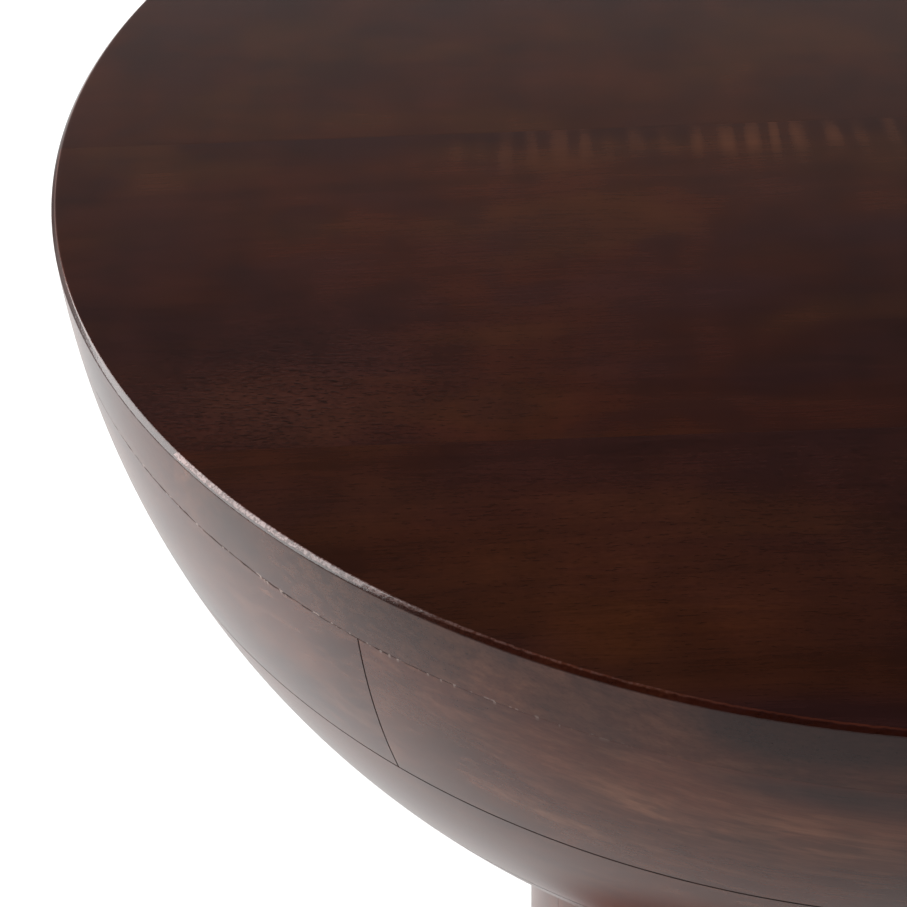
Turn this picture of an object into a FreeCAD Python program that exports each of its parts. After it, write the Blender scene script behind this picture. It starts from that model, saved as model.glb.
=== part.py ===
import FreeCAD, Part
import math
import os
import Sketcher

# A round occasional table shaped like a drum: a half sphere of glued hardwood with a flat top,
# standing on a softly flared stem. All sizes are in millimetres and all angles in degrees.
# The table stands on its felt pads at z = 0, and the boards of the top run along X.

DRIVING_SIZES = [
    ("table_height", 508.0, "floor to the top face"),
    ("top_diameter", 508.0, "across the flat top, also the sphere of the bowl"),
    ("top_thickness", 19.6, "edge-glued boards of the top"),
    ("rim_ease", 1.3, "bevel that eases the rim of the top"),
    ("board_width", 144.8, "one board of the top"),
    ("centre_joint", -5.1, "where the middle glue line of the top lies across the boards"),
    ("least_board_width", 40.0, "no strip at the rim is narrower"),
    ("ring_count", 3, "rings of segments between the top and the bottom of the bowl"),
    ("ring_wall", 54.0, "wall of a ring at the middle of a segment, at its underside"),
    ("segment_count", 6, "segments in one ring"),
    ("segment_joint_azimuth", 231.25, "direction of one upright joint of the upper ring"),
    ("bottom_thickness", 43.7, "boards that close the bowl above the stem"),
    ("bottom_board_width", 120.0, "one board of the bowl's bottom"),
    ("turning_allowance", 6.0, "timber turned away outside the finished surface"),
    ("stem_top_radius", 117.3, "stem where it meets the bowl"),
    ("foot_flare", 5.8, "how far the foot spreads beyond the top of the stem"),
    ("foot_ease", 2.0, "round on the lower edge of the stem"),
    ("stave_count", 8, "upright staves in the stem"),
    ("stave_wall", 34.0, "stave at the clamp plate, from the bore to the turned face"),
    ("shoulder_width", 12.0, "step in the bore that the clamp plate bears on"),
    ("shoulder_height", 24.0, "timber above that step"),
    ("ledge_width", 14.0, "step that the foot plate is screwed to"),
    ("plate_clearance", 0.5, "round the clamp plate and the foot plate"),
    ("clamp_plate_thickness", 18.0, "plywood plate that the bolts pull up"),
    ("foot_plate_thickness", 12.0, "plywood plate that closes the stem"),
    ("foot_plate_recess", 6.0, "from the lower edge of the stem up to the foot plate"),
    ("bolt_circle_radius", 48.0, "four bolts between stem and bowl"),
    ("bolt_count", 4, "bolts between stem and bowl"),
    ("bolt_radius", 4.0, "shank of a bolt"),
    ("bolt_head_radius", 6.5, "from the centre of a hexagon head to its flat"),
    ("bolt_head_height", 5.3, "hexagon head"),
    ("bolt_hole_clearance", 0.5, "round a bolt in the clamp plate"),
    ("bolt_reach", 20.0, "how far a bolt goes into its insert"),
    ("washer_radius", 12.0, "washer under a bolt head"),
    ("washer_thickness", 2.0, "washer under a bolt head"),
    ("insert_radius", 6.5, "threaded insert in the bowl's bottom"),
    ("insert_length", 24.0, "threaded insert in the bowl's bottom"),
    ("blind_hole_spare", 3.0, "drilled deeper than the piece that goes in"),
    ("fit_gap", 0.15, "round a dowel, insert or screw in its hole"),
    ("screw_radius", 2.0, "shank of a wood screw"),
    ("screw_head_radius", 4.0, "countersunk head of a wood screw"),
    ("screw_head_height", 2.6, "countersunk head of a wood screw"),
    ("screw_length", 30.0, "wood screw from head to point"),
    ("screw_point_length", 5.0, "tapered point of a wood screw"),
    ("dowel_radius", 5.0, "dowel between the top and the upper ring"),
    ("dowel_length", 38.0, "dowel between the top and the upper ring"),
    ("dowel_in_top", 12.0, "how far a dowel goes up into the top"),
    ("dowel_inset", 30.0, "from the turned face under the top to the middle of a dowel"),
    ("dowel_chamfer", 1.0, "bevel on the ends of a dowel"),
    ("felt_pad_radius", 12.0, "felt pad under a stave"),
    ("felt_pad_thickness", 3.0, "felt pad under a stave"),
    ("felt_pad_count", 4, "felt pads under the stem"),
    ("felt_pad_ease", 0.6, "soft edge of a felt pad"),
    ("cut_overrun", 1.0, "every cut runs this far past what it cuts"),
]

doc = FreeCAD.newDocument("drum_table")
sizes = doc.addObject("Spreadsheet::Sheet", "sizes")


def fill_the_sheet():
    """Write each driving size with its alias and meaning on a row of its own."""
    for row, (alias, value, meaning) in enumerate(DRIVING_SIZES, start=1):
        sizes.set(f"A{row}", alias)
        sizes.set(f"B{row}", str(value))
        sizes.set(f"C{row}", meaning)
        sizes.setAlias(f"B{row}", alias)
    doc.recompute()


def number(expression):
    """The present value of an expression in the sheet's sizes, as a plain number."""
    found = sizes.evalExpression(str(expression))
    return float(getattr(found, "Value", found))


fill_the_sheet()

# Sizes worked out from the driving ones. Each is an expression, so it follows the sheet.
RADIUS = "(sizes.top_diameter / 2)"
SEAT_DEPTH = f"sqrt({RADIUS} ^ 2 - sizes.stem_top_radius ^ 2)"
RING_THICKNESS = (
    f"(({SEAT_DEPTH} - sizes.top_thickness - sizes.bottom_thickness) / sizes.ring_count)")
HALF_SEGMENT = "(180 deg / sizes.segment_count)"
HALF_STAVE = "(180 deg / sizes.stave_count)"
OVERRUN = "sizes.cut_overrun"
STEM_LENGTH = f"(sizes.table_height - {SEAT_DEPTH} - sizes.felt_pad_thickness)"
FLARE_RADIUS = f"(({STEM_LENGTH} ^ 2 + sizes.foot_flare ^ 2) / (2 * sizes.foot_flare))"
FOOT_RADIUS = "(sizes.stem_top_radius + sizes.foot_flare)"
BORE_APOTHEM = "(sizes.stem_top_radius - sizes.stave_wall)"
SHOULDER_APOTHEM = f"({BORE_APOTHEM} - sizes.shoulder_width)"
LEDGE_APOTHEM = f"({BORE_APOTHEM} + sizes.ledge_width)"
LEDGE_HEIGHT = "(sizes.foot_plate_recess + sizes.foot_plate_thickness)"
SCREW_CIRCLE = f"({BORE_APOTHEM} + sizes.ledge_width / 2)"
CLAMP_PLATE_HEIGHT = f"({STEM_LENGTH} - sizes.shoulder_height - sizes.clamp_plate_thickness)"


def sphere_radius(depth):
    """Radius of the bowl at a depth below the top face."""
    return f"sqrt({RADIUS} ^ 2 - ({depth}) ^ 2)"


DOWEL_CIRCLE = f"({sphere_radius('sizes.top_thickness')} - sizes.dowel_inset)"


def new_piece(label):
    """A body with its label, which is also the name of its file."""
    piece = doc.addObject("PartDesign::Body", label)
    piece.Label = label
    return piece


def origin_plane(piece, role):
    """One of the planes of the piece's own origin."""
    return next(item for item in piece.Origin.OriginFeatures if item.Role == role)


def new_sketch(piece, role, height=None):
    """An empty sketch on an origin plane, raised along its normal by an expression if one is given."""
    sketch = piece.newObject("Sketcher::SketchObject", f"{piece.Label}_sketch")
    sketch.AttachmentSupport = [(origin_plane(piece, role), "")]
    sketch.MapMode = "FlatFace"
    if height is not None:
        sketch.setExpression(".AttachmentOffset.Base.z", height)
    return sketch


def fix_point(sketch, edge, end, across, up):
    """Tie one end of an edge to the sketch's origin by two expressions."""
    for kind, expression in (("DistanceX", across), ("DistanceY", up)):
        rule = sketch.addConstraint(Sketcher.Constraint(kind, -1, 1, edge, end, number(expression)))
        sketch.setExpression(f"Constraints[{rule}]", str(expression))


def draw_outline(sketch, corners, arcs=None):
    """A closed outline through the corners, each a pair of expressions. arcs gives, for an edge by
    the number of its first corner, the place of the arc's centre: across and up."""
    arcs = arcs or {}
    points = [FreeCAD.Vector(number(across), number(up), 0) for across, up in corners]
    first_end = {}
    for index, start in enumerate(points):
        finish = points[(index + 1) % len(points)]
        if index in arcs:
            middle = FreeCAD.Vector(number(arcs[index][0]), number(arcs[index][1]), 0)
            turns_left = (start - middle).cross(finish - middle).z > 0
            begin, end = (start, finish) if turns_left else (finish, start)
            circle = Part.Circle(middle, FreeCAD.Vector(0, 0, 1), (start - middle).Length)
            angles = [math.atan2(p.y - middle.y, p.x - middle.x) for p in (begin, end)]
            edge = sketch.addGeometry(Part.ArcOfCircle(circle, angles[0], angles[1]), False)
            first_end[index] = (1, 2) if turns_left else (2, 1)
            rule = sketch.addConstraint(
                Sketcher.Constraint("DistanceY", -1, 1, edge, 3, middle.y))
            sketch.setExpression(f"Constraints[{rule}]", str(arcs[index][1]))
        else:
            sketch.addGeometry(Part.LineSegment(start, finish), False)
            first_end[index] = (1, 2)
    for index, (across, up) in enumerate(corners):
        before = index - 1 if index else len(corners) - 1
        sketch.addConstraint(
            Sketcher.Constraint("Coincident", before, first_end[before][1], index, first_end[index][0]))
        fix_point(sketch, index, first_end[index][0], across, up)
    return sketch


def draw_circles(sketch, places, radius):
    """One circle at each place, all of one radius."""
    for index, (across, up) in enumerate(places):
        centre = FreeCAD.Vector(number(across), number(up), 0)
        circle = Part.Circle(centre, FreeCAD.Vector(0, 0, 1), number(radius))
        sketch.addGeometry(circle, False)
        fix_point(sketch, index, 3, across, up)
        rule = sketch.addConstraint(Sketcher.Constraint("Radius", index, number(radius)))
        sketch.setExpression(f"Constraints[{rule}]", str(radius))
    return sketch


def pad(piece, sketch, length):
    """Raise the sketch's outline along +Z."""
    feature = piece.newObject("PartDesign::Pad", f"{piece.Label}_pad")
    feature.Profile = sketch
    feature.setExpression("Length", length)
    piece.Tip = feature
    return feature


def pocket(piece, sketch, length, upwards):
    """Cut the sketch's outline out, up or down from its plane."""
    feature = piece.newObject("PartDesign::Pocket", f"{piece.Label}_pocket")
    feature.Profile = sketch
    feature.Reversed = upwards
    feature.setExpression("Length", length)
    piece.Tip = feature
    return feature


def turn_outside(piece, corners, arcs):
    """Turn the piece on its own Z axis: what lies inside the outline is cut away."""
    sketch = draw_outline(new_sketch(piece, "XZ_Plane"), corners, arcs)
    feature = piece.newObject("PartDesign::Groove", f"{piece.Label}_turning")
    feature.Profile = sketch
    feature.ReferenceAxis = (sketch, ["V_Axis"])
    feature.Angle = 360
    piece.Tip = feature
    return feature


def polar_copies(piece, features, count):
    """Repeat features round the Z axis."""
    pattern = piece.newObject("PartDesign::PolarPattern", f"{piece.Label}_pattern")
    pattern.Originals = features
    pattern.Axis = (origin_plane(piece, "Z_Axis"), [""])
    pattern.Angle = 360
    pattern.setExpression("Occurrences", count)
    piece.Tip = pattern
    return pattern


def place(piece, height, turn="0"):
    """Set the piece at a height and turn it about the table's axis by an angle in degrees."""
    piece.Placement = FreeCAD.Placement(
        FreeCAD.Vector(0, 0, 0), FreeCAD.Rotation(FreeCAD.Vector(0, 0, 1), number(turn)))
    piece.setExpression(".Placement.Base.z", height)


def joints_across(half_extent, width, offset):
    """Expressions of the glue lines between boards that keep a fair strip at each side."""
    reach = int(number(f"2 * {half_extent}") // number(width)) + 1
    lines = [f"({offset} + {step} * {width})" for step in range(-reach, reach + 1)]
    limit = number(f"{half_extent} - sizes.least_board_width")
    return [line for line in lines if abs(number(line)) < limit]


def flat_boards(label, half_extent, width, offset, thickness):
    """Boards side by side, along X, each a body with its blank of timber."""
    side = f"({half_extent} + sizes.turning_allowance)"
    edges = [f"-{side}"] + joints_across(half_extent, width, offset) + [side]
    boards = []
    for index in range(len(edges) - 1):
        board = new_piece(f"{label}_{index + 1}")
        low, high = edges[index], edges[index + 1]
        corners = [(f"-{side}", low), (side, low), (side, high), (f"-{side}", high)]
        pad(board, draw_outline(new_sketch(board, "XY_Plane"), corners), thickness)
        boards.append(board)
    return boards


def round_places(circle, count, turn):
    """Places on a circle, the first at an angle in degrees."""
    places = []
    for index in range(int(number(count))):
        angle = f"({turn} + {index} * 360 / {count}) * 1 deg"
        places.append((f"{circle} * cos({angle})", f"{circle} * sin({angle})"))
    return places


# The first upright joint of the upper ring is half a segment before the middle of a segment.
UPPER_RING_TURN = "(sizes.segment_joint_azimuth + 180 / sizes.segment_count)"


def ring_turn(course):
    """Rings are laid like bricks: each is turned half a segment from the one above."""
    return f"({UPPER_RING_TURN} + {course} * 180 / sizes.segment_count)"


def underside_depth(course):
    """Depth of a ring's underside below the top face; course 0 is the upper ring."""
    return f"(sizes.top_thickness + {course + 1} * {RING_THICKNESS})"


def cut_to_sphere(piece, depth, thickness, reach):
    """Turn a layer of the bowl whose underside lies at a depth, out to the sphere."""
    below = f"({depth} + {OVERRUN})"
    above = f"({depth} - {thickness} - {OVERRUN})"
    over_top = f"({thickness} + {OVERRUN})"
    corners = [
        (sphere_radius(below), f"-{OVERRUN}"),
        (sphere_radius(above), over_top),
        (f"({reach} + {OVERRUN})", over_top),
        (f"({reach} + {OVERRUN})", f"-{OVERRUN}"),
    ]
    turn_outside(piece, corners, {0: ("0", depth)})


def make_top():
    """Edge-glued boards, turned round with a bevelled rim and drilled below for the dowels."""
    depth = "sizes.top_thickness"
    boards = flat_boards("top_board", RADIUS, "sizes.board_width", "sizes.centre_joint", depth)
    eased_height = "(sizes.top_thickness - sizes.rim_ease)"
    eased_radius = f"({RADIUS} - sizes.rim_ease)"
    reach = f"(2 * ({RADIUS} + sizes.turning_allowance))"
    over_top = f"({depth} + {OVERRUN})"
    corners = [
        (sphere_radius(f"({depth} + {OVERRUN})"), f"-{OVERRUN}"),
        (sphere_radius("sizes.rim_ease"), eased_height),
        (eased_radius, depth),
        (eased_radius, over_top),
        (reach, over_top),
        (reach, f"-{OVERRUN}"),
    ]
    arcs = {0: ("0", depth)}
    places = round_places(DOWEL_CIRCLE, "sizes.segment_count", UPPER_RING_TURN)
    hole = "(sizes.dowel_in_top + sizes.blind_hole_spare)"
    for board in boards:
        turn_outside(board, corners, arcs)
        sketch = new_sketch(board, "XY_Plane")
        draw_circles(sketch, places, "(sizes.dowel_radius + sizes.fit_gap)")
        pocket(board, sketch, hole, True)
        place(board, f"sizes.table_height - {depth}")
    return boards


def make_segment(course, index):
    """One mitred block of a ring, turned on the outside and flat on the inside."""
    segment = new_piece(f"bowl_ring_{course + 1}_segment_{index + 1}")
    depth = underside_depth(course)
    inner = f"({sphere_radius(depth)} - sizes.ring_wall)"
    outer = f"({sphere_radius(f'{depth} - {RING_THICKNESS}')} + sizes.turning_allowance)"
    corners = [
        (inner, f"-{inner} * tan({HALF_SEGMENT})"),
        (outer, f"-{outer} * tan({HALF_SEGMENT})"),
        (outer, f"{outer} * tan({HALF_SEGMENT})"),
        (inner, f"{inner} * tan({HALF_SEGMENT})"),
    ]
    pad(segment, draw_outline(new_sketch(segment, "XY_Plane"), corners), RING_THICKNESS)
    cut_to_sphere(segment, depth, RING_THICKNESS, f"{outer} / cos({HALF_SEGMENT})")
    if course == 0:
        sketch = new_sketch(segment, "XY_Plane", RING_THICKNESS)
        draw_circles(sketch, [(DOWEL_CIRCLE, "0")], "(sizes.dowel_radius + sizes.fit_gap)")
        hole = "(sizes.dowel_length - sizes.dowel_in_top + sizes.blind_hole_spare)"
        pocket(segment, sketch, hole, False)
    turn = f"({ring_turn(course)} + {index} * 360 / sizes.segment_count)"
    place(segment, f"sizes.table_height - {depth}", turn)
    return segment


def make_bowl_rings():
    """The rings of the bowl, from the top down."""
    courses = range(int(number("sizes.ring_count")))
    segments = range(int(number("sizes.segment_count")))
    return [make_segment(course, index) for course in courses for index in segments]


def make_bowl_bottom():
    """Boards that close the bowl, drilled from below for the threaded inserts."""
    thickness = "sizes.bottom_thickness"
    above = f"({SEAT_DEPTH} - {thickness})"
    width = "sizes.bottom_board_width"
    boards = flat_boards("bowl_bottom_board", sphere_radius(above), width, f"{width} / 2", thickness)
    reach = f"(2 * ({sphere_radius(above)} + sizes.turning_allowance))"
    places = round_places("sizes.bolt_circle_radius", "sizes.bolt_count", BOLT_TURN)
    hole = "(sizes.insert_length + sizes.blind_hole_spare)"
    for board in boards:
        cut_to_sphere(board, SEAT_DEPTH, thickness, reach)
        sketch = new_sketch(board, "XY_Plane")
        draw_circles(sketch, places, "(sizes.insert_radius + sizes.fit_gap)")
        pocket(board, sketch, hole, True)
        place(board, f"sizes.table_height - {SEAT_DEPTH}")
    return boards


# The bolts stand clear of the glue lines, half way between the boards' direction and square to it.
BOLT_TURN = "(180 / sizes.bolt_count)"


def flare_at(height):
    """Radius of the stem at a height above its foot: an arc that is upright at the bowl."""
    drop = f"({STEM_LENGTH} - ({height}))"
    return f"(sizes.stem_top_radius + {FLARE_RADIUS} - sqrt({FLARE_RADIUS} ^ 2 - {drop} ^ 2))"


def step_outline(apothem):
    """Outline that opens a stave's inner face out to an apothem."""
    half = f"({apothem} * tan({HALF_STAVE}) + {OVERRUN})"
    inner = f"({SHOULDER_APOTHEM} - {OVERRUN})"
    return [(inner, f"-{half}"), (apothem, f"-{half}"), (apothem, half), (inner, half)]


def make_stave(index):
    """One upright stave: mitred sides, turned outside, stepped inside for the two plates."""
    stave = new_piece(f"stem_stave_{index + 1}")
    outer = f"({FOOT_RADIUS} + sizes.turning_allowance)"
    corners = [
        (SHOULDER_APOTHEM, f"-{SHOULDER_APOTHEM} * tan({HALF_STAVE})"),
        (outer, f"-{outer} * tan({HALF_STAVE})"),
        (outer, f"{outer} * tan({HALF_STAVE})"),
        (SHOULDER_APOTHEM, f"{SHOULDER_APOTHEM} * tan({HALF_STAVE})"),
    ]
    pad(stave, draw_outline(new_sketch(stave, "XY_Plane"), corners), STEM_LENGTH)
    reach = f"({outer} / cos({HALF_STAVE}) + {OVERRUN})"
    over_top = f"({STEM_LENGTH} + {OVERRUN})"
    eased = f"({FOOT_RADIUS} - sizes.foot_ease)"
    turned = [
        (eased, f"-{OVERRUN}"),
        (eased, "0"),
        (flare_at("sizes.foot_ease"), "sizes.foot_ease"),
        (flare_at(over_top), over_top),
        (reach, over_top),
        (reach, f"-{OVERRUN}"),
    ]
    arcs = {1: (eased, "sizes.foot_ease"), 2: (f"(sizes.stem_top_radius + {FLARE_RADIUS})", STEM_LENGTH)}
    turn_outside(stave, turned, arcs)
    bore = draw_outline(new_sketch(stave, "XY_Plane"), step_outline(BORE_APOTHEM))
    pocket(stave, bore, f"({STEM_LENGTH} - sizes.shoulder_height)", True)
    ledge = draw_outline(new_sketch(stave, "XY_Plane"), step_outline(LEDGE_APOTHEM))
    pocket(stave, ledge, LEDGE_HEIGHT, True)
    pilot = new_sketch(stave, "XY_Plane", LEDGE_HEIGHT)
    draw_circles(pilot, [(SCREW_CIRCLE, "0")], "(sizes.screw_radius + sizes.fit_gap)")
    depth = "(sizes.screw_length - sizes.foot_plate_thickness + sizes.blind_hole_spare)"
    pocket(stave, pilot, depth, True)
    place(stave, "sizes.felt_pad_thickness", f"{index} * 360 / sizes.stave_count")
    return stave


def make_plate(label, apothem, thickness, height):
    """A plate with a flat side for each stave."""
    plate = new_piece(label)
    corner = f"(({apothem} - sizes.plate_clearance) / cos({HALF_STAVE}))"
    corners = round_places(corner, "sizes.stave_count", "180 / sizes.stave_count")
    pad(plate, draw_outline(new_sketch(plate, "XY_Plane"), corners), thickness)
    place(plate, height)
    return plate


def make_clamp_plate():
    """The plate that the bolts pull up against the step in the stem's bore."""
    height = f"sizes.felt_pad_thickness + {CLAMP_PLATE_HEIGHT}"
    plate = make_plate("stem_clamp_plate", BORE_APOTHEM, "sizes.clamp_plate_thickness", height)
    places = round_places("sizes.bolt_circle_radius", "sizes.bolt_count", BOLT_TURN)
    sketch = new_sketch(plate, "XY_Plane")
    draw_circles(sketch, places, "(sizes.bolt_radius + sizes.bolt_hole_clearance)")
    pocket(plate, sketch, "(sizes.clamp_plate_thickness + sizes.cut_overrun)", True)
    return plate


def turned_ring(label, circle, corners, count, arcs=None):
    """Equal small turned pieces set on a circle, each turned on its own upright axis."""
    group = new_piece(label)
    group.AllowCompound = True
    sketch = new_sketch(group, "XZ_Plane")
    outline = [(f"({circle} + {across})", up) for across, up in corners]
    centres = {edge: (f"({circle} + {across})", up) for edge, (across, up) in (arcs or {}).items()}
    draw_outline(sketch, outline, centres)
    line = Part.LineSegment(
        FreeCAD.Vector(number(circle), 0, 0), FreeCAD.Vector(number(circle), number(circle), 0))
    axis = sketch.addGeometry(line, True)
    sketch.addConstraint(Sketcher.Constraint("Vertical", axis))
    fix_point(sketch, axis, 1, circle, "0")
    feature = group.newObject("PartDesign::Revolution", f"{label}_turning")
    feature.Profile = sketch
    feature.ReferenceAxis = (sketch, ["Axis0"])
    feature.Angle = 360
    group.Tip = feature
    polar_copies(group, [feature], count)
    return group


def make_foot_plate():
    """The plate that closes the stem from below, countersunk for its screws."""
    height = "sizes.felt_pad_thickness + sizes.foot_plate_recess"
    plate = make_plate("foot_plate", LEDGE_APOTHEM, "sizes.foot_plate_thickness", height)
    gap = "sizes.fit_gap"
    sketch = new_sketch(plate, "XZ_Plane")
    over_top = f"(sizes.foot_plate_thickness + {OVERRUN})"
    slope = "(sizes.screw_head_radius - sizes.screw_radius) / sizes.screw_head_height"
    mouth = f"(sizes.screw_head_radius + {gap} + {OVERRUN} * {slope})"
    shank = f"(sizes.screw_radius + {gap})"
    corners = [
        (SCREW_CIRCLE, f"-{OVERRUN}"),
        (f"({SCREW_CIRCLE} + {mouth})", f"-{OVERRUN}"),
        (f"({SCREW_CIRCLE} + {shank})", "sizes.screw_head_height"),
        (f"({SCREW_CIRCLE} + {shank})", over_top),
        (SCREW_CIRCLE, over_top),
    ]
    draw_outline(sketch, corners)
    drilling = plate.newObject("PartDesign::Groove", "foot_plate_drilling")
    drilling.Profile = sketch
    line = Part.LineSegment(
        FreeCAD.Vector(number(SCREW_CIRCLE), 0, 0),
        FreeCAD.Vector(number(SCREW_CIRCLE), number(over_top), 0))
    axis = sketch.addGeometry(line, True)
    sketch.addConstraint(Sketcher.Constraint("Vertical", axis))
    fix_point(sketch, axis, 1, SCREW_CIRCLE, "0")
    drilling.ReferenceAxis = (sketch, ["Axis0"])
    drilling.Angle = 360
    plate.Tip = drilling
    polar_copies(plate, [drilling], "sizes.stave_count")
    return plate


def make_screws():
    """Countersunk wood screws that hold the foot plate."""
    tip = "(sizes.screw_length - sizes.screw_point_length)"
    corners = [
        ("0", "0"),
        ("sizes.screw_head_radius", "0"),
        ("sizes.screw_radius", "sizes.screw_head_height"),
        ("sizes.screw_radius", tip),
        ("0", "sizes.screw_length"),
    ]
    screws = turned_ring("foot_plate_screws", SCREW_CIRCLE, corners, "sizes.stave_count")
    place(screws, "sizes.felt_pad_thickness + sizes.foot_plate_recess")
    return screws


def make_dowels():
    """Dowels with bevelled ends, up into the top and down into the upper ring."""
    bevel = "sizes.dowel_chamfer"
    small = f"(sizes.dowel_radius - {bevel})"
    corners = [
        ("0", "0"),
        (small, "0"),
        ("sizes.dowel_radius", bevel),
        ("sizes.dowel_radius", f"(sizes.dowel_length - {bevel})"),
        (small, "sizes.dowel_length"),
        ("0", "sizes.dowel_length"),
    ]
    dowels = turned_ring("top_dowels", DOWEL_CIRCLE, corners, "sizes.segment_count")
    height = "sizes.table_height - sizes.top_thickness + sizes.dowel_in_top - sizes.dowel_length"
    place(dowels, height, UPPER_RING_TURN)
    return dowels


def make_inserts():
    """Threaded inserts for the bolts, flush with the bowl's underside."""
    bore = "(sizes.bolt_radius + sizes.fit_gap)"
    corners = [
        (bore, "0"),
        ("sizes.insert_radius", "0"),
        ("sizes.insert_radius", "sizes.insert_length"),
        (bore, "sizes.insert_length"),
    ]
    inserts = turned_ring("threaded_inserts", "sizes.bolt_circle_radius", corners, "sizes.bolt_count")
    place(inserts, f"sizes.table_height - {SEAT_DEPTH}", BOLT_TURN)
    return inserts


def make_washers():
    """Washers between the bolt heads and the clamp plate."""
    bore = "(sizes.bolt_radius + sizes.bolt_hole_clearance)"
    corners = [
        (bore, "0"),
        ("sizes.washer_radius", "0"),
        ("sizes.washer_radius", "sizes.washer_thickness"),
        (bore, "sizes.washer_thickness"),
    ]
    washers = turned_ring("clamp_washers", "sizes.bolt_circle_radius", corners, "sizes.bolt_count")
    height = f"sizes.felt_pad_thickness + {CLAMP_PLATE_HEIGHT} - sizes.washer_thickness"
    place(washers, height, BOLT_TURN)
    return washers


def make_bolts():
    """Hexagon head bolts from below the clamp plate up into the inserts."""
    bolts = new_piece("clamp_bolts")
    bolts.AllowCompound = True
    corner = "(sizes.bolt_head_radius / cos(30 deg))"
    hexagon = []
    for index in range(6):
        across = f"(sizes.bolt_circle_radius + {corner} * cos({index} * 60 deg))"
        hexagon.append((across, f"{corner} * sin({index} * 60 deg)"))
    head = pad(bolts, draw_outline(new_sketch(bolts, "XY_Plane"), hexagon), "sizes.bolt_head_height")
    shank_sketch = new_sketch(bolts, "XY_Plane")
    draw_circles(shank_sketch, [("sizes.bolt_circle_radius", "0")], "sizes.bolt_radius")
    under_head = "(sizes.washer_thickness + sizes.clamp_plate_thickness + sizes.shoulder_height)"
    shank = pad(bolts, shank_sketch, f"(sizes.bolt_head_height + {under_head} + sizes.bolt_reach)")
    polar_copies(bolts, [head, shank], "sizes.bolt_count")
    under_plate = f"(sizes.felt_pad_thickness + {CLAMP_PLATE_HEIGHT})"
    place(bolts, f"{under_plate} - sizes.washer_thickness - sizes.bolt_head_height", BOLT_TURN)
    return bolts


def make_felt_pads():
    """Round felt pads under every other stave, with a soft lower edge."""
    circle = f"(({LEDGE_APOTHEM} + {FOOT_RADIUS} - sizes.foot_ease) / 2)"
    soft = "(sizes.felt_pad_radius - sizes.felt_pad_ease)"
    corners = [
        ("0", "0"),
        (soft, "0"),
        ("sizes.felt_pad_radius", "sizes.felt_pad_ease"),
        ("sizes.felt_pad_radius", "sizes.felt_pad_thickness"),
        ("0", "sizes.felt_pad_thickness"),
    ]
    arcs = {1: (soft, "sizes.felt_pad_ease")}
    pads = turned_ring("felt_pads", circle, corners, "sizes.felt_pad_count", arcs)
    place(pads, "0")
    return pads


def make_table():
    """Every piece of the table, from the top down."""
    pieces = make_top()
    pieces += make_bowl_rings()
    pieces += make_bowl_bottom()
    pieces += [make_stave(index) for index in range(int(number("sizes.stave_count")))]
    pieces += [make_clamp_plate(), make_foot_plate(), make_screws(), make_dowels()]
    pieces += [make_inserts(), make_washers(), make_bolts(), make_felt_pads()]
    return pieces


def check_and_write(pieces):
    """Refuse a failed object or an unsound solid, then write one file for each piece."""
    failed = [item.Name for item in doc.Objects if {"Invalid", "Error"} & set(item.State)]
    if failed:
        raise RuntimeError(f"failed objects: {failed}")
    for piece in pieces:
        if piece.Shape.isNull() or not piece.Shape.isValid() or not piece.Shape.Solids:
            raise RuntimeError(f"{piece.Label} has no sound shape")
    os.makedirs("parts", exist_ok=True)
    for piece in pieces:
        piece.Shape.exportStep(f"parts/{piece.Label}.step")
        litres = piece.Shape.Volume / 1e6
        print(f"{piece.Label}: {len(piece.Shape.Solids)} solids, {litres:.4f} litres")


table = make_table()
doc.recompute()
check_and_write(table)
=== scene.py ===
# %% [markdown]
# # A drum table in dark stained hardwood
# The table is a hollow half sphere of glued timber with a flat top, standing on a hollow stem.
# The solid model gives every piece its place. This script dresses each wooden piece with a finer
# skin of the same form, with eased edges and real timber grain, and lights it as in a studio.

# %% Load the solid model
import math
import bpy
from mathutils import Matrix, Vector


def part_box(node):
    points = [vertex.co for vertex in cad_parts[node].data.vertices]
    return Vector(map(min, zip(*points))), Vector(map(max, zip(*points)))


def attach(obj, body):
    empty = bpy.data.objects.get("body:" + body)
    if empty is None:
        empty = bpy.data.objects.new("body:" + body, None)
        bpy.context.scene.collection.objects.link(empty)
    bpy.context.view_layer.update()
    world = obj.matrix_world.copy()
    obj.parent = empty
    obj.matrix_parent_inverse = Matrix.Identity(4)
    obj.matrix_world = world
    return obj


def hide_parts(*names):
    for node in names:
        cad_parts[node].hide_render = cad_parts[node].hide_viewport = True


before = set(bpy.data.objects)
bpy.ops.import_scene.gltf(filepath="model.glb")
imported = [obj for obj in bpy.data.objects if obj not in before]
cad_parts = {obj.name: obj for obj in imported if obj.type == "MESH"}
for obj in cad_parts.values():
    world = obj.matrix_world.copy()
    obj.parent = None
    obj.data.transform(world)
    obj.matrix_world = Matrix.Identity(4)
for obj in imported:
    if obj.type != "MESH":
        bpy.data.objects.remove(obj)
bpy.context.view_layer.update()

from types import SimpleNamespace

import bpy
import numpy as np
from mathutils import Matrix, Vector

print(len(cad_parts), "pieces in the solid model")

# %% [markdown]
# ## Sizes
# All the work below is in millimetres, because timber is. The heights of the layers come from the
# solid pieces themselves, so the skins can't drift away from them. The outside of the bowl is one
# sphere whose centre lies in the top face, so its radius at any depth follows from Pythagoras.

# %% Sizes taken from the solid pieces
MM = 0.001
RADIUS = 254.0      # of the top, and of the sphere that the bowl is turned to
RIM_EASE = 1.3      # width of the bevel round the rim
RING_WALL = 54.0    # thickness of a ring at its lower face
LINE_WIDTH = 0.52   # how far a glue line darkens the wood beside it
SEGMENTS = 6        # in each ring of the bowl
STAVES = 8          # in the stem


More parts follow.
